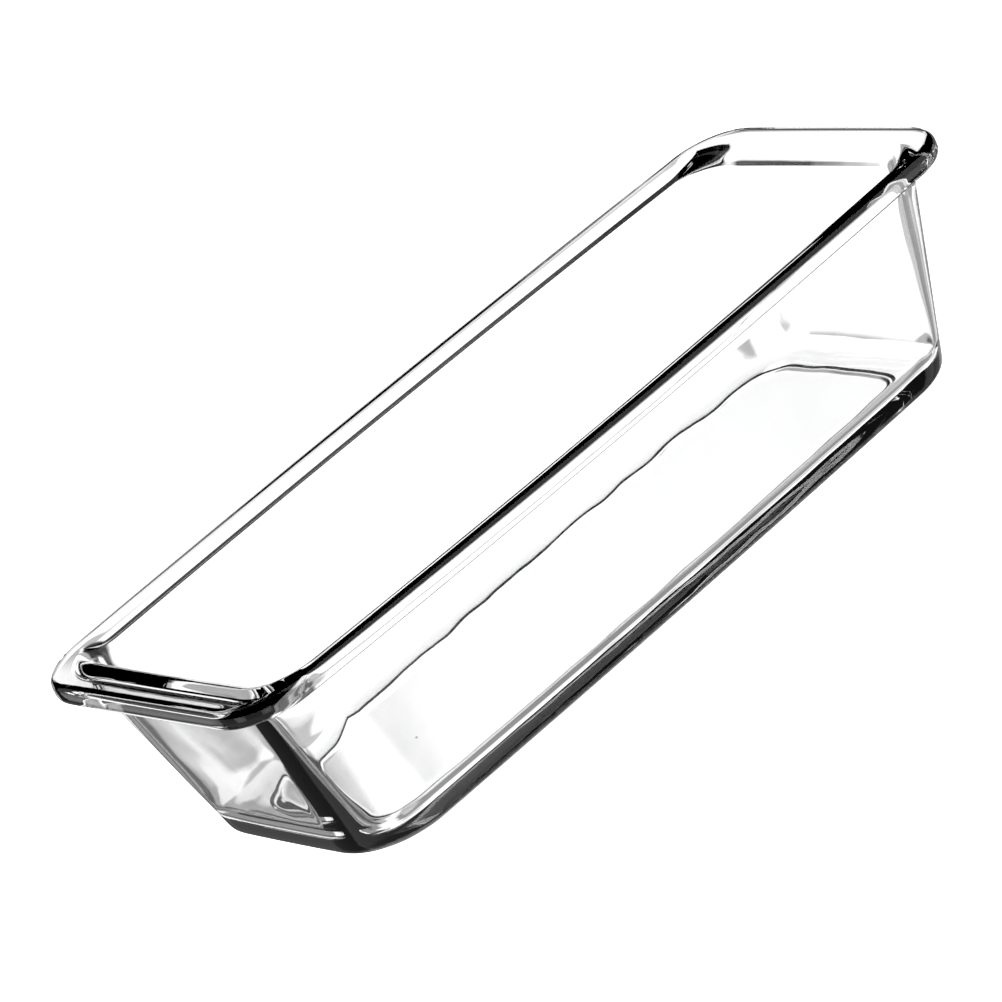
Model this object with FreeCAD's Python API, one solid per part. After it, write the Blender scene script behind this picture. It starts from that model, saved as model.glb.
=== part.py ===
"""Loaf dish of clear pressed glass: a deep tapered well inside one continuous rim.

The dish is a single pressing. Its own frame stands it on z = 0, with the long side along X and
the origin under the middle of the base. The rim runs level all round the top: a narrow rounded
bead along the two long sides, and a wide flat flange at each end that serves as a handle. The
wall runs straight down to a low rounded heel. The well has tighter corners than the outside.
The resting face is flat but for the shallow groove of a mould line.

Every horizontal section is the same kind of outline, a rectangle whose four sides bow gently
outwards and whose corners are arcs tangent to them. The solid is a stack of such sections.
"""
import FreeCAD
import Part
import math
import os

# Overall size, in millimetres.
LENGTH = 280.0
WIDTH = 110.6
HEIGHT = 64.0

# Rim: a level plate with a rounded edge.
RIM_THICKNESS = 6.0
RIM_OVER_RADIUS = 2.6
RIM_UNDER_RADIUS = 2.0
RIM_CORNER_RADIUS = 18.8
RIM_END_BOW = 0.4
RIM_SIDE_BOW = 3.4

# Outer face of the wall and flank of the well, at the foot and where they would meet the rim.
WALL_FOOT = dict(half_length=120.4, half_width=45.0, end_bow=0.6, side_bow=1.7, corner_radius=21.5)
WALL_TOP = dict(half_length=130.2, half_width=53.0, end_bow=0.5, side_bow=3.2, corner_radius=18.0)
WELL_FOOT = dict(half_length=113.9, half_width=38.6, end_bow=0.6, side_bow=1.7, corner_radius=9.0)
WELL_TOP = dict(half_length=124.4, half_width=47.7, end_bow=0.5, side_bow=3.2, corner_radius=12.0)
FOOT_LEVEL = 7.2

# Cove that blends the wall into the underside of the rim.
COVE_HEIGHT = 4.0
COVE_END_REACH = 3.5
COVE_SIDE_REACH = 0.2

# Heel: a low quarter ellipse between the resting face and the wall.
HEEL_HEIGHT = 4.0
HEEL_REACH = 7.7

# Mould line: a shallow groove in the resting face.
GROOVE = dict(half_length=104.0, half_width=32.0, end_bow=0.6, side_bow=4.0, corner_radius=11.0)
GROOVE_DEPTH = 0.7
GROOVE_HALF_WIDTH = 1.8

# Floor of the well and the roundings inside it. The lip is a quarter ellipse, wider at the ends.
FLOOR_THICKNESS = 5.2
FLOOR_FILLET_RADIUS = 6.0
LIP_HEIGHT = 4.5
LIP_END_REACH = 4.5
LIP_SIDE_REACH = 3.2

# Sections in a rounded stretch.
ROUND_SECTIONS = 6

RIM_BOTTOM = HEIGHT - RIM_THICKNESS
COVE_BOTTOM = RIM_BOTTOM - COVE_HEIGHT


def bow_radius(half_chord, bow):
    """Radius of an arc that rises by bow over a chord of twice half_chord."""
    return (half_chord ** 2 + bow ** 2) / (2.0 * bow)


def corner_centre(side_centre_y, side_radius, end_centre_x, end_radius, corner_radius):
    """Centre of the corner arc that is tangent inside both the side arc and the end arc."""
    side_reach = side_radius - corner_radius
    end_reach = end_radius - corner_radius
    gap = math.hypot(end_centre_x, side_centre_y)
    along = (side_reach ** 2 - end_reach ** 2 + gap ** 2) / (2.0 * gap)
    across = math.sqrt(side_reach ** 2 - along ** 2)
    unit_x = end_centre_x / gap
    unit_y = -side_centre_y / gap
    return (along * unit_x + across * unit_y, side_centre_y + along * unit_y - across * unit_x)


def point_beyond(start, through, distance):
    """Point at a distance from start, on the line from start through another point."""
    delta_x = through[0] - start[0]
    delta_y = through[1] - start[1]
    scale = distance / math.hypot(delta_x, delta_y)
    return (start[0] + delta_x * scale, start[1] + delta_y * scale)


def bowed_outline(level, half_length, half_width, end_bow, side_bow, corner_radius):
    """Closed wire at one level: four gently bowed sides joined by tangent corner arcs."""
    side_radius = bow_radius(half_length, side_bow)
    end_radius = bow_radius(half_width, end_bow)
    side_centre = (0.0, half_width - side_radius)
    end_centre = (half_length - end_radius, 0.0)
    centre = corner_centre(side_centre[1], side_radius, end_centre[0], end_radius, corner_radius)
    side_stop = point_beyond(side_centre, centre, side_radius)
    end_stop = point_beyond(end_centre, centre, end_radius)
    chord_middle = (0.5 * (side_stop[0] + end_stop[0]), 0.5 * (side_stop[1] + end_stop[1]))
    corner_middle = point_beyond(centre, chord_middle, corner_radius)
    end_middle = (half_length, 0.0)
    side_middle = (0.0, half_width)

    def arc(first, middle, last, signs):
        points = []
        for point, (sign_x, sign_y) in zip((first, middle, last), signs):
            points.append(FreeCAD.Vector(sign_x * point[0], sign_y * point[1], level))
        return Part.Arc(*points).toShape()

    edges = [
        arc(end_stop, end_middle, end_stop, [(1, -1), (1, 1), (1, 1)]),
        arc(end_stop, corner_middle, side_stop, [(1, 1)] * 3),
        arc(side_stop, side_middle, side_stop, [(1, 1), (1, 1), (-1, 1)]),
        arc(side_stop, corner_middle, end_stop, [(-1, 1)] * 3),
        arc(end_stop, end_middle, end_stop, [(-1, 1), (-1, 1), (-1, -1)]),
        arc(end_stop, corner_middle, side_stop, [(-1, -1)] * 3),
        arc(side_stop, side_middle, side_stop, [(-1, -1), (-1, -1), (1, -1)]),
        arc(side_stop, corner_middle, end_stop, [(1, -1)] * 3),
    ]
    return Part.Wire(edges)


def shape_outline(shape, level, outset_x=0.0, outset_y=0.0):
    """Outline of a shape at one level, moved outwards by the outsets or inwards if they are below 0."""
    return bowed_outline(
        level,
        shape["half_length"] + outset_x,
        shape["half_width"] + outset_y,
        shape["end_bow"],
        shape["side_bow"],
        shape["corner_radius"] + min(outset_x, outset_y),
    )


def tapered_shape(foot, top, level):
    """Shape at one level between a shape at the foot and one at the rim."""
    rise = (level - FOOT_LEVEL) / (RIM_BOTTOM - FOOT_LEVEL)
    return {key: foot[key] + (top[key] - foot[key]) * rise for key in foot}


def wall_outline(level, outset_x=0.0, outset_y=0.0):
    """Section of the wall's outer face, moved outwards by the outsets."""
    return shape_outline(tapered_shape(WALL_FOOT, WALL_TOP, level), level, outset_x, outset_y)


def well_outline(level, outset_x=0.0, outset_y=0.0):
    """Section of the well's flank, moved outwards by the outsets."""
    return shape_outline(tapered_shape(WELL_FOOT, WELL_TOP, level), level, outset_x, outset_y)


def rim_outline(level, inset=0.0):
    """Section of the rim, moved inwards by an inset."""
    half_length = 0.5 * LENGTH - inset
    half_width = 0.5 * WIDTH - inset
    corner_radius = RIM_CORNER_RADIUS - inset
    return bowed_outline(level, half_length, half_width, RIM_END_BOW, RIM_SIDE_BOW, corner_radius)


def quarter_round():
    """Steps of a quarter circle of radius 1, as (sine, cosine) pairs from 0 to 90 degrees."""
    angles = [0.5 * math.pi * step / (ROUND_SECTIONS - 1) for step in range(ROUND_SECTIONS)]
    return [(math.sin(angle), math.cos(angle)) for angle in angles]


def straight_band(sections):
    """Faces with straight flanks between sections."""
    return Part.makeLoft(sections, False, True).Faces


def round_band(sections):
    """Faces with a smooth curved flank through sections."""
    return Part.makeLoft(sections, False, False).Faces


def level_ring(outer, inner):
    """Flat face between an outline and a smaller one inside it."""
    return Part.makeFace([outer, inner], "Part::FaceMakerBullseye")


def groove_sections():
    """Rounded trough from the inner edge of the groove to its outer edge."""
    sections = []
    for step in range(ROUND_SECTIONS + 1):
        share = 2.0 * step / ROUND_SECTIONS - 1.0
        level = 0.5 * GROOVE_DEPTH * (1.0 + math.cos(math.pi * share))
        outset = share * GROOVE_HALF_WIDTH
        sections.append(shape_outline(GROOVE, level, outset, outset))
    return sections


def heel_sections():
    """Quarter ellipse from the resting face up to the wall."""
    sections = []
    for sine, cosine in quarter_round():
        outset = HEEL_REACH * (sine - 1.0)
        sections.append(wall_outline(HEEL_HEIGHT * (1.0 - cosine), outset, outset))
    return sections


def cove_sections():
    """Hollow quarter round from the wall out to the underside of the rim."""
    sections = []
    for sine, cosine in quarter_round():
        flare = 1.0 - cosine
        level = COVE_BOTTOM + COVE_HEIGHT * sine
        sections.append(wall_outline(level, COVE_END_REACH * flare, COVE_SIDE_REACH * flare))
    return sections


def rim_sections(radius, level, direction):
    """Quarter round from a level face of the rim to its vertical edge."""
    sections = []
    for sine, cosine in quarter_round():
        step = direction * radius * (1.0 - cosine)
        sections.append(rim_outline(level + step, radius * (1.0 - sine)))
    return sections


def lip_sections():
    """Quarter ellipse from the rim's top down into the well."""
    sections = []
    for sine, cosine in quarter_round():
        level = HEIGHT - LIP_HEIGHT * (1.0 - cosine)
        flare = 1.0 - sine
        sections.append(well_outline(level, LIP_END_REACH * flare, LIP_SIDE_REACH * flare))
    return sections


def floor_sections():
    """Quarter round from the well's flank in to the flat floor."""
    sections = []
    for sine, cosine in quarter_round():
        outset = FLOOR_FILLET_RADIUS * (cosine - 1.0)
        level = FLOOR_THICKNESS + FLOOR_FILLET_RADIUS * (1.0 - sine)
        sections.append(well_outline(level, outset, outset))
    return sections


def make_outside():
    """Faces from the resting face up the wall and round the rim, with the outline they end on."""
    groove = groove_sections()
    heel = heel_sections()
    cove = cove_sections()
    rim_under = rim_sections(RIM_UNDER_RADIUS, RIM_BOTTOM, 1)
    rim_over = rim_sections(RIM_OVER_RADIUS, HEIGHT, -1)
    faces = [Part.Face(groove[0])]
    faces += round_band(groove)
    faces.append(level_ring(heel[0], groove[-1]))
    faces += round_band(heel)
    faces += straight_band([heel[-1], cove[0]])
    faces += round_band(cove)
    faces.append(level_ring(rim_under[0], cove[-1]))
    faces += round_band(rim_under)
    faces += straight_band([rim_under[-1], rim_over[-1]])
    faces += round_band(rim_over)
    return faces, rim_over[0]


def make_inside():
    """Faces from the lip down the well to its floor, with the outline they start on."""
    lip = lip_sections()
    floor = floor_sections()
    faces = round_band(lip)
    faces += straight_band([lip[-1], floor[0]])
    faces += round_band(floor)
    faces.append(Part.Face(floor[-1]))
    return faces, lip[0]


def make_glass_dish():
    """The whole pressing as one closed solid."""
    outside, rim_edge = make_outside()
    inside, lip_edge = make_inside()
    shell = Part.makeShell(outside + inside + [level_ring(rim_edge, lip_edge)])
    shell.sewShape()
    solid = Part.makeSolid(shell)
    if solid.Volume < 0.0:
        solid.reverse()
    return solid


def main():
    os.makedirs("parts", exist_ok=True)
    dish = make_glass_dish()
    box = dish.BoundBox
    print("valid", dish.isValid(), "closed", dish.Shells[0].isClosed())
    print("volume in cm3", round(dish.Volume / 1000.0, 1), "faces", len(dish.Faces))
    print("box in mm", [round(size, 2) for size in (box.XLength, box.YLength, box.ZLength)])
    dish.exportStep("parts/glass_dish.step")


main()
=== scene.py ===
"""Studio picture of a clear pressed-glass loaf dish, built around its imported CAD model.

The dish is one continuous mesh. Every horizontal section of it is the same kind of outline: a
rectangle whose sides bow gently outwards, with corner arcs tangent to them. A list of sections
runs from the middle of the base, out round the heel, up the wall, over the rim and down the
well to the middle of the floor, so that the glass is closed and its skin is smooth.
"""

import math

import bmesh
import bpy
import numpy as np
from mathutils import Matrix, Vector, noise


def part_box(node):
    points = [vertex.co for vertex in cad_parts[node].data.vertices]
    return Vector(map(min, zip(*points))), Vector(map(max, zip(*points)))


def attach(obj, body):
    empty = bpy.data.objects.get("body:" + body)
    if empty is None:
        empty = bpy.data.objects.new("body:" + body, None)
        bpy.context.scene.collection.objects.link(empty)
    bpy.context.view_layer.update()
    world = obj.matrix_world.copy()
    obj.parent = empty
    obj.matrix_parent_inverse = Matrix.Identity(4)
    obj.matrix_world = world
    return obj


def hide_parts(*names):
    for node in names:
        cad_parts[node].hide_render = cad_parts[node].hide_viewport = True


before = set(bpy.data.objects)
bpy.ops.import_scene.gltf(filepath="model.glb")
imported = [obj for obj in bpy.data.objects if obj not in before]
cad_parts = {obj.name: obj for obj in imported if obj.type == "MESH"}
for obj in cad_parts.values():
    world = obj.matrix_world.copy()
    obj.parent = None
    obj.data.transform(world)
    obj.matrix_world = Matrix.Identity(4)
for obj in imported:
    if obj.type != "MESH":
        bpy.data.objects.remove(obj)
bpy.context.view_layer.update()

MM = 0.001

# Overall size, from the frame.
DISH_LOW, DISH_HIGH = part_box("glass_dish")
HALF_LENGTH = 0.5 * (DISH_HIGH.x - DISH_LOW.x)
HALF_WIDTH = 0.5 * (DISH_HIGH.y - DISH_LOW.y)
HEIGHT = DISH_HIGH.z

# Rim.
RIM_THICKNESS = 6.0 * MM
RIM_OVER_RADIUS = 2.6 * MM
RIM_UNDER_RADIUS = 2.0 * MM
RIM_CORNER_RADIUS = 18.8 * MM
RIM_END_BOW = 0.4 * MM
RIM_SIDE_BOW = 3.4 * MM

# Outer face of the wall and flank of the well, at the foot and where they would meet the rim.
WALL_FOOT = dict(
    half_length=120.4 * MM, half_width=45.0 * MM,
    end_bow=0.6 * MM, side_bow=1.7 * MM, corner_radius=21.5 * MM,
)
WALL_TOP = dict(
    half_length=130.2 * MM, half_width=53.0 * MM,
    end_bow=0.5 * MM, side_bow=3.2 * MM, corner_radius=18.0 * MM,
)
WELL_FOOT = dict(
    half_length=113.9 * MM, half_width=38.6 * MM,
    end_bow=0.6 * MM, side_bow=1.7 * MM, corner_radius=9.0 * MM,
)
WELL_TOP = dict(
    half_length=124.4 * MM, half_width=47.7 * MM,
    end_bow=0.5 * MM, side_bow=3.2 * MM, corner_radius=12.0 * MM,
)
FOOT_LEVEL = 7.2 * MM
COVE_HEIGHT = 4.0 * MM
COVE_END_REACH = 3.5 * MM
COVE_SIDE_REACH = 0.2 * MM
HEEL_HEIGHT = 4.0 * MM
HEEL_REACH = 7.7 * MM

# Mould line under the base: a shallow groove that wanders by up to half of GROOVE_WANDER to
# either side of its outline.
GROOVE = dict(
    half_length=104.0 * MM, half_width=32.0 * MM,
    end_bow=0.6 * MM, side_bow=4.0 * MM, corner_radius=11.0 * MM,
)
GROOVE_DEPTH = 0.7 * MM
GROOVE_HALF_WIDTH = 1.8 * MM
GROOVE_WANDER = 2.0 * MM
GROOVE_WANDER_LENGTH = 14.0 * MM

# Faint ripple of pressed glass in the wall and in the well's flank, from crest to trough.
RIPPLE_DEPTH = 0.12 * MM
RIPPLE_LENGTH = 16.0 * MM

# Floor of the well and the roundings inside it.
FLOOR_THICKNESS = 5.2 * MM
FLOOR_FILLET_RADIUS = 6.0 * MM
LIP_HEIGHT = 4.5 * MM
LIP_END_REACH = 4.5 * MM
LIP_SIDE_REACH = 3.2 * MM

RIM_BOTTOM = HEIGHT - RIM_THICKNESS
COVE_BOTTOM = RIM_BOTTOM - COVE_HEIGHT

# Points of an outline along half an end, round a corner and along half a side.
END_POINTS = 18
CORNER_POINTS = 18
SIDE_POINTS = 52

# Rings up a wall, round a quarter turn, across a flat face and across the groove.
WALL_RINGS = 26
ROUND_RINGS = 9
FLAT_RINGS = 20
GROOVE_RINGS = 13

# Share of the way from the outline to the middle line at which a flat face is closed.
FLAT_CLOSE = 0.97

# Camera: the photograph's viewing angle, in degrees, with lens and sensor in millimetres.
CAMERA_AZIMUTH = -31.2
CAMERA_ELEVATION = 22.7
CAMERA_ROLL = 26.94
CAMERA_DISTANCE = 1.315
CAMERA_LENS = 171.54
CAMERA_SENSOR = 36.0
CAMERA_AIM = Vector((-0.00212, 0.02024, 0.03002))

# Glass: refractive index, how far the fire polish and the faint tint vary from place to place,
# and the shallow dimples of its skin.
GLASS_INDEX = 1.5
POLISH_ROUGHNESS = (0.0, 0.012)
TINTS = ((1.0, 1.0, 1.0, 1.0), (0.993, 0.998, 0.996, 1.0))
SMEAR_SCALE = 40.0
DIMPLE_SCALE = 120.0
NOISE_DETAIL = 1.0
DIMPLE_HEIGHT = 0.01 * MM

# Light: the studio as bands stacked by height, lowest first. Each has its lower edge, as the sine
# of its elevation, and its brightness by azimuth in degrees from +X. A stretch starts where it
# says and ends where the next one starts. The edges say how gradual the steps are, in degrees of
# azimuth and in sine of elevation.
STUDIO = (
    # Straight down and steeply down, under the flat faces.
    (-1.0, ((-180, 1.1),)),
    (-0.94, ((-180, 0.3), (15, 1.1), (105, 0.3))),
    # Ground beyond the dish.
    (-0.81, (
        (-180, 0.6), (-56, 0.1), (-36, 0.6), (-10, 0.3), (18, 0.7), (42, 1.4),
        (62, 0.55), (74, 0.06), (86, 0.3), (112, 0.15), (150, 0.6),
    )),
    # Backdrop: bright where a view looks straight through the dish, dark between.
    (-0.41, (
        (-180, 1.6), (-172, 0.4), (-143, 1.6), (-127, 0.4), (-98, 1.6), (-37, 0.4),
        (-6, 1.4), (7, 0.4), (38, 1.4), (60, 1.25), (74, 0.04), (84, 1.4),
        (96, 0.04), (114, 1.4), (143, 0.4), (172, 1.6),
    )),
    # Dark room above, with two soft panels.
    (0.02, ((-180, 0.0), (-85, 0.9), (-20, 0.0), (105, 0.5), (135, 0.0))),
)
AZIMUTH_EDGE = 3.0
BAND_EDGE = 0.05

# Floor: a round sheet just under the dish.
FLOOR_RADIUS = 8.0
FLOOR_SEGMENTS = 64
FLOOR_DROP = 0.5 * MM
FLOOR_COLOUR = (0.8, 0.8, 0.8, 1.0)
FLOOR_GLOW = 1.7

WHITE = (1.0, 1.0, 1.0, 1.0)


def bow_radius(half_chord, bow):
    """Radius of an arc that rises by bow over a chord of twice half_chord."""
    return (half_chord ** 2 + bow ** 2) / (2.0 * bow)


def quarter_outline(half_length, half_width, end_bow, side_bow, corner_radius):
    """Points of a quarter of an outline, from the middle of the +X end to that of the +Y side."""
    side_radius = bow_radius(half_length, side_bow)
    end_radius = bow_radius(half_width, end_bow)
    side_centre = np.array((0.0, half_width - side_radius))
    end_centre = np.array((half_length - end_radius, 0.0))
    towards_end = end_centre - side_centre
    gap = np.linalg.norm(towards_end)
    towards_end /= gap
    side_reach = side_radius - corner_radius
    end_reach = end_radius - corner_radius
    along = (side_reach ** 2 - end_reach ** 2 + gap ** 2) / (2.0 * gap)
    across = math.sqrt(side_reach ** 2 - along ** 2)
    sideways = np.array((towards_end[1], -towards_end[0]))
    centre = side_centre + along * towards_end + across * sideways
    end_turn = math.atan2(centre[1] - end_centre[1], centre[0] - end_centre[0])
    side_turn = math.atan2(centre[1] - side_centre[1], centre[0] - side_centre[0])

    def arc(middle, radius, start, stop, count):
        turns = np.linspace(start, stop, count, endpoint=False)
        return np.stack((middle[0] + radius * np.cos(turns), middle[1] + radius * np.sin(turns)), 1)

    return np.concatenate((
        arc(end_centre, end_radius, 0.0, end_turn, END_POINTS),
        arc(centre, corner_radius, end_turn, side_turn, CORNER_POINTS),
        arc(side_centre, side_radius, side_turn, 0.5 * math.pi, SIDE_POINTS),
        [(0.0, half_width)],
    ))


def outline(half_length, half_width, end_bow, side_bow, corner_radius):
    """Points of a whole outline, anticlockwise from the middle of the +X end."""
    quarter = quarter_outline(half_length, half_width, end_bow, side_bow, corner_radius)
    half = np.concatenate((quarter, (quarter * (-1, 1))[-2::-1]))
    return np.concatenate((half, (half * (1, -1))[-2:0:-1]))


def ring_at(points, level):
    """Points of an outline at one level."""
    return np.column_stack((points, np.full(len(points), level)))


def tapered_ring(foot, top, level, outset_x, outset_y):
    """Section between two shapes at one level, moved outwards by the outsets."""
    rise = (level - FOOT_LEVEL) / (RIM_BOTTOM - FOOT_LEVEL)
    shape = {key: foot[key] + (top[key] - foot[key]) * rise for key in foot}
    shape["half_length"] += outset_x
    shape["half_width"] += outset_y
    shape["corner_radius"] += min(outset_x, outset_y)
    return ring_at(outline(**shape), level)


def wall_ring(level, outset_x=0.0, outset_y=0.0):
    """Section of the wall's outer face, moved outwards by the outsets."""
    return tapered_ring(WALL_FOOT, WALL_TOP, level, outset_x, outset_y)


def well_ring(level, outset_x=0.0, outset_y=0.0):
    """Section of the well's flank, moved outwards by the outsets."""
    return tapered_ring(WELL_FOOT, WELL_TOP, level, outset_x, outset_y)


def rim_ring(level, inset=0.0):
    """Section of the rim, moved inwards by an inset."""
    points = outline(HALF_LENGTH - inset, HALF_WIDTH - inset, RIM_END_BOW, RIM_SIDE_BOW,
                     RIM_CORNER_RADIUS - inset)
    return ring_at(points, level)


def quarter_round():
    """Steps of a quarter circle of radius 1, as (sine, cosine) pairs from 0 to 90 degrees."""
    turns = np.linspace(0.0, 0.5 * math.pi, ROUND_RINGS)
    return [(math.sin(turn), math.cos(turn)) for turn in turns]


def flat_rings(edge_ring):
    """Rings that shrink from a flat face's edge towards its middle line, outermost first."""
    spine_end = edge_ring[:, 0].max() - edge_ring[:, 1].max()
    spine = edge_ring.copy()
    spine[:, 0] = np.clip(spine[:, 0], -spine_end, spine_end)
    spine[:, 1] = 0.0
    shares = np.linspace(0.0, FLAT_CLOSE, FLAT_RINGS)[1:]
    return [edge_ring + (spine - edge_ring) * share for share in shares]


def moved_outwards(ring, distances):
    """Ring with each point moved level and square to the ring by its own distance."""
    along = np.roll(ring, -1, axis=0) - np.roll(ring, 1, axis=0)
    outwards = np.column_stack((along[:, 1], -along[:, 0], np.zeros(len(ring))))
    outwards /= np.linalg.norm(outwards, axis=1)[:, None]
    return ring + np.asarray(distances)[:, None] * outwards


def waves(ring, length):
    """Smooth uneven values, about -0.5 to 0.5, at the points of a ring."""
    return np.array([noise.noise(Vector(point) / length) for point in ring])


def rippled(ring, share):
    """Ring with the ripple of the glass, which fades out where share nears 0 or 1."""
    depth = RIPPLE_DEPTH * math.sin(math.pi * share)
    return moved_outwards(ring, depth * waves(ring, RIPPLE_LENGTH))


def groove_rings():
    """Rings across the groove under the base, from its inner edge to its outer edge."""
    middle = ring_at(outline(**GROOVE), 0.0)
    middle = moved_outwards(middle, GROOVE_WANDER * waves(middle, GROOVE_WANDER_LENGTH))
    rings = []
    for share in np.linspace(-1.0, 1.0, GROOVE_RINGS):
        ring = moved_outwards(middle, np.full(len(middle), share * GROOVE_HALF_WIDTH))
        ring[:, 2] = 0.5 * GROOVE_DEPTH * (1.0 + math.cos(math.pi * share))
        rings.append(ring)
    return rings


def outside_rings():
    """Rings from under the base, round the heel, up the wall and round the rim to its flat top."""
    rings = groove_rings()
    for sine, cosine in quarter_round():
        outset = HEEL_REACH * (sine - 1.0)
        rings.append(wall_ring(HEEL_HEIGHT * (1.0 - cosine), outset, outset))
    for share in np.linspace(0.0, 1.0, WALL_RINGS)[1:-1]:
        level = HEEL_HEIGHT + (COVE_BOTTOM - HEEL_HEIGHT) * share
        rings.append(rippled(wall_ring(level), share))
    for sine, cosine in quarter_round():
        flare = 1.0 - cosine
        level = COVE_BOTTOM + COVE_HEIGHT * sine
        rings.append(wall_ring(level, COVE_END_REACH * flare, COVE_SIDE_REACH * flare))
    for sine, cosine in quarter_round():
        level = RIM_BOTTOM + RIM_UNDER_RADIUS * (1.0 - cosine)
        rings.append(rim_ring(level, RIM_UNDER_RADIUS * (1.0 - sine)))
    for sine, cosine in reversed(quarter_round()):
        level = HEIGHT - RIM_OVER_RADIUS * (1.0 - cosine)
        rings.append(rim_ring(level, RIM_OVER_RADIUS * (1.0 - sine)))
    return rings


def inside_rings():
    """Rings from the flat top of the rim over the lip and down the well to its floor."""
    rings = []
    for sine, cosine in quarter_round():
        flare = 1.0 - sine
        level = HEIGHT - LIP_HEIGHT * (1.0 - cosine)
        rings.append(well_ring(level, LIP_END_REACH * flare, LIP_SIDE_REACH * flare))
    lip_bottom = HEIGHT - LIP_HEIGHT
    fillet_top = FLOOR_THICKNESS + FLOOR_FILLET_RADIUS
    for share in np.linspace(0.0, 1.0, WALL_RINGS)[1:-1]:
        level = lip_bottom + (fillet_top - lip_bottom) * share
        rings.append(rippled(well_ring(level), share))
    for sine, cosine in quarter_round():
        outset = FLOOR_FILLET_RADIUS * (cosine - 1.0)
        level = FLOOR_THICKNESS + FLOOR_FILLET_RADIUS * (1.0 - sine)
        rings.append(well_ring(level, outset, outset))
    return rings


def skin(rings, name):
    """Closed mesh over a list of rings, with its two ends closed across their middle lines.

    A strip that closes an end joins each point to its mirror image across the middle line. Its
    first and last faces have a repeated corner, which is dropped.
    """
    count = len(rings[0])
    vertices = np.concatenate(rings)
    faces = []
    for row in range(len(rings) - 1):
        for column in range(count):
            after = (column + 1) % count
            low = row * count
            faces.append((low + column, low + after, low + count + after, low + count + column))
    for row, turned in ((0, True), (len(rings) - 1, False)):
        low = row * count
        for column in range(count // 2):
            mirrored = (count - column) % count
            next_mirrored = count - column - 1
            face = (low + column, low + column + 1, low + next_mirrored, low + mirrored)
            face = tuple(dict.fromkeys(face))
            faces.append(face[::-1] if turned else face)
    mesh = bpy.data.meshes.new(name)
    mesh.from_pydata(vertices.tolist(), [], faces)
    mesh.validate()
    return mesh


def make_dish():
    """The dish as one closed, smooth mesh."""
    outside = outside_rings()
    inside = inside_rings()
    rings = flat_rings(outside[0])[::-1] + outside + inside + flat_rings(inside[-1])
    mesh = skin(rings, "glass_dish_skin")
    work = bmesh.new()
    work.from_mesh(mesh)
    bmesh.ops.recalc_face_normals(work, faces=work.faces)
    work.to_mesh(mesh)
    work.free()
    mesh.shade_smooth()
    dish = bpy.data.objects.new("pressed_glass_dish", mesh)
    bpy.context.scene.collection.objects.link(dish)
    return dish


def noise_texture(nodes, links, position, scale):
    """Noise over the glass, with its features about 1 / scale metres across."""
    texture = nodes.new("ShaderNodeTexNoise")
    texture.inputs["Scale"].default_value = scale
    texture.inputs["Detail"].default_value = NOISE_DETAIL
    links.new(position, texture.inputs["Vector"])
    return texture.outputs["Fac"]


def make_glass():
    """Clear colourless glass with an uneven polish, a trace of tint and faint dimples."""
    material = bpy.data.materials.new("clear_pressed_glass")
    material.use_nodes = True
    nodes = material.node_tree.nodes
    links = material.node_tree.links
    shader = nodes["Principled BSDF"]
    shader.inputs["IOR"].default_value = GLASS_INDEX
    shader.inputs["Transmission Weight"].default_value = 1.0
    position = nodes.new("ShaderNodeTexCoord").outputs["Object"]
    smears = noise_texture(nodes, links, position, SMEAR_SCALE)
    polish = nodes.new("ShaderNodeMapRange")
    polish.inputs["To Min"].default_value = POLISH_ROUGHNESS[0]
    polish.inputs["To Max"].default_value = POLISH_ROUGHNESS[1]
    links.new(smears, polish.inputs["Value"])
    links.new(polish.outputs["Result"], shader.inputs["Roughness"])
    tint = nodes.new("ShaderNodeMix")
    tint.data_type = "RGBA"
    tint.inputs["A"].default_value = TINTS[0]
    tint.inputs["B"].default_value = TINTS[1]
    links.new(smears, tint.inputs["Factor"])
    links.new(tint.outputs["Result"], shader.inputs["Base Color"])
    dimples = nodes.new("ShaderNodeBump")
    dimples.inputs["Strength"].default_value = 1.0
    dimples.inputs["Distance"].default_value = DIMPLE_HEIGHT
    links.new(noise_texture(nodes, links, position, DIMPLE_SCALE), dimples.inputs["Height"])
    links.new(dimples.outputs["Normal"], shader.inputs["Normal"])
    return material


def make_floor():
    """Plain white floor, so evenly bright that it shows no shadow.

    Rays in the glass pass it by and see the bands of the studio.
    """
    mesh = bpy.data.meshes.new("studio_floor")
    work = bmesh.new()
    bmesh.ops.create_circle(work, cap_ends=True, segments=FLOOR_SEGMENTS, radius=FLOOR_RADIUS)
    work.to_mesh(mesh)
    work.free()
    floor = bpy.data.objects.new("studio_floor", mesh)
    floor.location.z = -FLOOR_DROP
    bpy.context.scene.collection.objects.link(floor)
    material = bpy.data.materials.new("studio_white")
    material.use_nodes = True
    shader = material.node_tree.nodes["Principled BSDF"]
    shader.inputs["Base Color"].default_value = FLOOR_COLOUR
    shader.inputs["Emission Color"].default_value = WHITE
    shader.inputs["Emission Strength"].default_value = FLOOR_GLOW
    mesh.materials.append(material)
    floor.visible_glossy = False
    floor.visible_transmission = False


def band_brightness(nodes, links, turn, stretches):
    """Brightness of one band of the studio, where turn runs from 0 at -180 degrees to 1 at 180."""
    stops = [(0.0, stretches[0][1])]
    for (_, before), (start, after) in zip(stretches, stretches[1:]):
        stops.append(((start - 0.5 * AZIMUTH_EDGE + 180.0) / 360.0, before))
        stops.append(((start + 0.5 * AZIMUTH_EDGE + 180.0) / 360.0, after))
    ramp = nodes.new("ShaderNodeValToRGB")
    elements = ramp.color_ramp.elements
    elements.remove(elements[1])
    while len(elements) < len(stops):
        elements.new(1.0)
    for element, (position, glow) in zip(elements, stops):
        element.position = position
        element.color = (glow, glow, glow, 1.0)
    links.new(turn, ramp.inputs["Fac"])
    return ramp.outputs["Color"]


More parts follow.
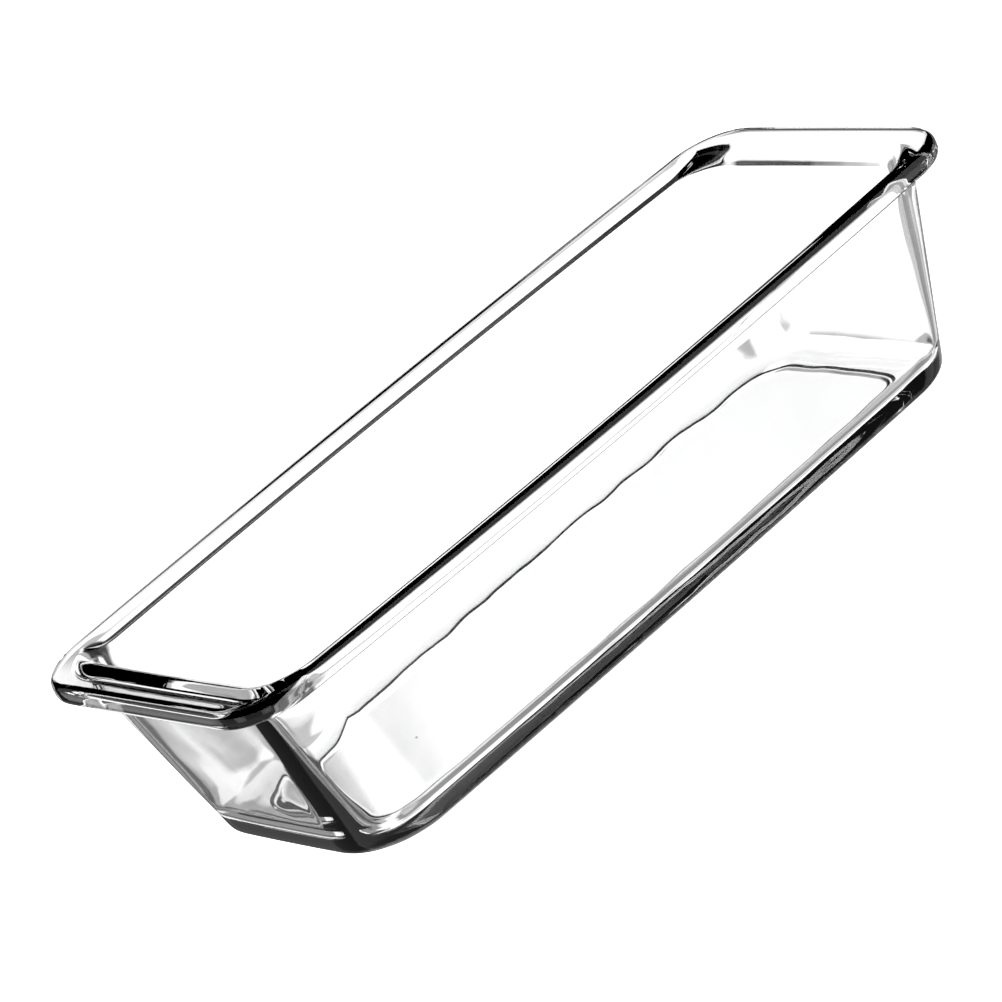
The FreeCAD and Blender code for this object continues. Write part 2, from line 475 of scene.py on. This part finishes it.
def mixer(nodes, links, share, colour):
    """Mix node that starts from a colour and leaves its second colour to be set."""
    mix = nodes.new("ShaderNodeMix")
    mix.data_type = "RGBA"
    mix.clamp_factor = True
    links.new(share, mix.inputs["Factor"])
    links.new(colour, mix.inputs["A"])
    return mix


def make_world():
    """Studio of bright and dark panels round the dish, plain white where the camera sees it."""
    world = bpy.data.worlds.new("studio")
    bpy.context.scene.world = world
    world.use_nodes = True
    nodes = world.node_tree.nodes
    links = world.node_tree.links
    direction = nodes.new("ShaderNodeTexCoord")
    parts = nodes.new("ShaderNodeSeparateXYZ")
    links.new(direction.outputs["Generated"], parts.inputs["Vector"])
    azimuth = nodes.new("ShaderNodeMath")
    azimuth.operation = "ARCTAN2"
    links.new(parts.outputs["Y"], azimuth.inputs[0])
    links.new(parts.outputs["X"], azimuth.inputs[1])
    turn = nodes.new("ShaderNodeMapRange")
    turn.inputs["From Min"].default_value = -math.pi
    turn.inputs["From Max"].default_value = math.pi
    links.new(azimuth.outputs["Value"], turn.inputs["Value"])
    colour = band_brightness(nodes, links, turn.outputs["Result"], STUDIO[0][1])
    for lower_edge, stretches in STUDIO[1:]:
        share = nodes.new("ShaderNodeMapRange")
        share.inputs["From Min"].default_value = lower_edge - 0.5 * BAND_EDGE
        share.inputs["From Max"].default_value = lower_edge + 0.5 * BAND_EDGE
        links.new(parts.outputs["Z"], share.inputs["Value"])
        mix = mixer(nodes, links, share.outputs["Result"], colour)
        links.new(band_brightness(nodes, links, turn.outputs["Result"], stretches), mix.inputs["B"])
        colour = mix.outputs["Result"]
    path = nodes.new("ShaderNodeLightPath")
    mix = mixer(nodes, links, path.outputs["Is Camera Ray"], colour)
    mix.inputs["B"].default_value = WHITE
    links.new(mix.outputs["Result"], nodes["Background"].inputs["Color"])


def make_camera():
    """Long-lens camera, turned about its own axis so that the dish lies across the frame."""
    data = bpy.data.cameras.new("camera")
    data.lens = CAMERA_LENS
    data.sensor_width = CAMERA_SENSOR
    camera = bpy.data.objects.new("camera", data)
    bpy.context.scene.collection.objects.link(camera)
    azimuth = math.radians(CAMERA_AZIMUTH)
    elevation = math.radians(CAMERA_ELEVATION)
    back = Vector((
        math.sin(azimuth) * math.cos(elevation),
        -math.cos(azimuth) * math.cos(elevation),
        math.sin(elevation),
    ))
    level = (-back).to_track_quat("-Z", "Y").to_matrix().to_4x4()
    roll = Matrix.Rotation(math.radians(-CAMERA_ROLL), 4, "Z")
    camera.matrix_world = Matrix.Translation(CAMERA_AIM + back * CAMERA_DISTANCE) @ level @ roll
    bpy.context.scene.camera = camera


make_camera()
make_world()
make_floor()
dish = make_dish()
dish.data.materials.append(make_glass())
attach(dish, "root")
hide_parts("glass_dish")

bpy.context.scene.view_settings.view_transform = "Standard"
